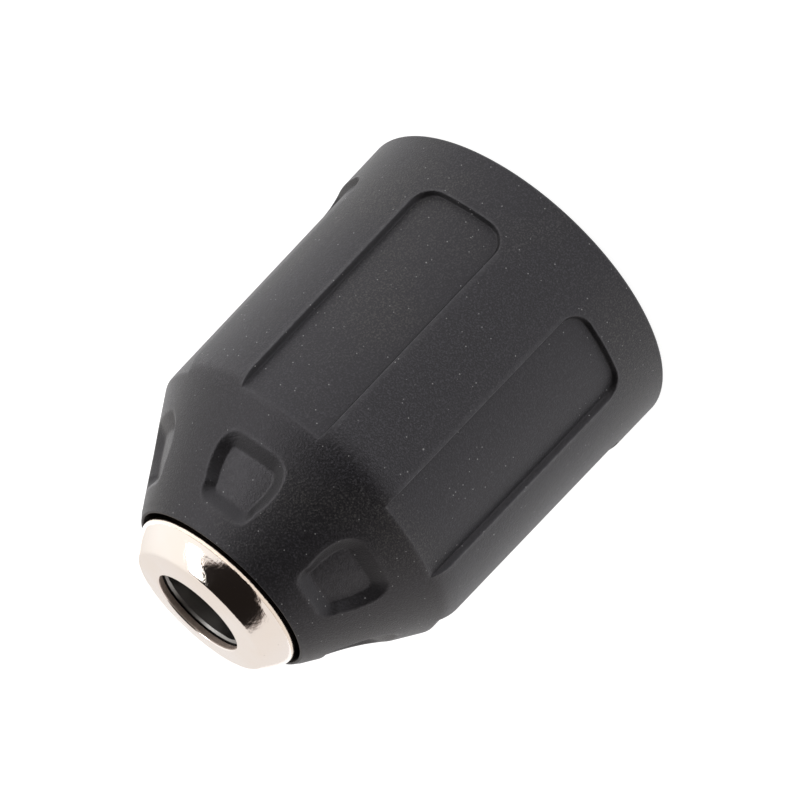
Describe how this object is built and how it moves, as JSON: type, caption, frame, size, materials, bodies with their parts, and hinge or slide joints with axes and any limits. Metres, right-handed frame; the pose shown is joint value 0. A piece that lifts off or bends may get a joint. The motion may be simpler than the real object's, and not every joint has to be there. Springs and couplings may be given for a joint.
{
  "type": "keyless drill chuck",
  "caption": "Keyless drill chuck with a tapered black grip sleeve, bright nose ring and three converging jaws driven by a threaded nut.",
  "frame": {"origin": "centre of the rear hub face, on the chuck axis", "axes": "+Z along the chuck axis from the spindle hub to the nose; +X through the middle of one grip recess"},
  "size_m": [0.042, 0.042, 0.0533],
  "materials": {
    "sleeve_plastic": "fine-grained matte black moulding",
    "nose_nickel": "polished warm nickel plate",
    "body_steel": "turned and oiled steel",
    "jaw_steel": "hardened and ground",
    "bearing_steel": "ground bearing steel",
    "cage_brass": "stamped sheet",
    "band_steel": "pressed sheet steel",
    "spring_steel": "blued spring steel",
    "cover_plate": "zinc-plated pressed sheet"
  },
  "bodies": {
    "body": {"chuck_body": "body_steel", "nose_ring": "nose_nickel", "rear_race": "bearing_steel", "rear_cover": "cover_plate", "cover_clip": "spring_steel"},
    "nut": {"nut_half_a": "body_steel", "nut_half_b": "body_steel", "nut_band": "band_steel", "front_race": "bearing_steel", "lock_spring": "spring_steel"},
    "sleeve": {"outer_sleeve": "sleeve_plastic", "sleeve_liner": "band_steel"},
    "ball_train": {"ball_cage": "cage_brass", "ball_01": "bearing_steel", "ball_02": "bearing_steel", "ball_03": "bearing_steel", "ball_04": "bearing_steel", "ball_05": "bearing_steel", "ball_06": "bearing_steel", "ball_07": "bearing_steel", "ball_08": "bearing_steel", "ball_09": "bearing_steel", "ball_10": "bearing_steel", "ball_11": "bearing_steel", "ball_12": "bearing_steel", "ball_13": "bearing_steel", "ball_14": "bearing_steel", "ball_15": "bearing_steel"},
    "jaw_1": {"jaw_1": "jaw_steel"},
    "jaw_2": {"jaw_2": "jaw_steel"},
    "jaw_3": {"jaw_3": "jaw_steel"}
  },
  "joints": [
    {"name": "nut_turn", "type": "hinge", "parent": "body", "child": "nut", "pos_m": [0, 0, 0.0305], "axis": [0, 0, -1], "range_deg": [0, 3870]},
    {"name": "sleeve_lock", "type": "hinge", "parent": "nut", "child": "sleeve", "pos_m": [0, 0, 0.0345], "axis": [0, 0, -1], "range_deg": [0, 16]},
    {"name": "ball_roll", "type": "hinge", "parent": "body", "child": "ball_train", "pos_m": [0, 0, 0.0252], "axis": [0, 0, -1], "range_deg": [0, 1936]},
    {"name": "jaw_slide_1", "type": "slide", "parent": "body", "child": "jaw_1", "axis": [-0.2387, -0.1378, 0.9613], "range_m": [0, 0.01721]},
    {"name": "jaw_slide_2", "type": "slide", "parent": "body", "child": "jaw_2", "axis": [0.2387, -0.1378, 0.9613], "range_m": [0, 0.01721]},
    {"name": "jaw_slide_3", "type": "slide", "parent": "body", "child": "jaw_3", "axis": [0, 0.2756, 0.9613], "range_m": [0, 0.01721]}
  ],
  "couplings": [
    {"joint": "ball_roll", "follows": "nut_turn", "ratio": 0.5},
    {"joint": "jaw_slide_1", "follows": "nut_turn", "m_per_rad": 0.00025465},
    {"joint": "jaw_slide_2", "follows": "nut_turn", "m_per_rad": 0.00025465},
    {"joint": "jaw_slide_3", "follows": "nut_turn", "m_per_rad": 0.00025465}
  ]
}
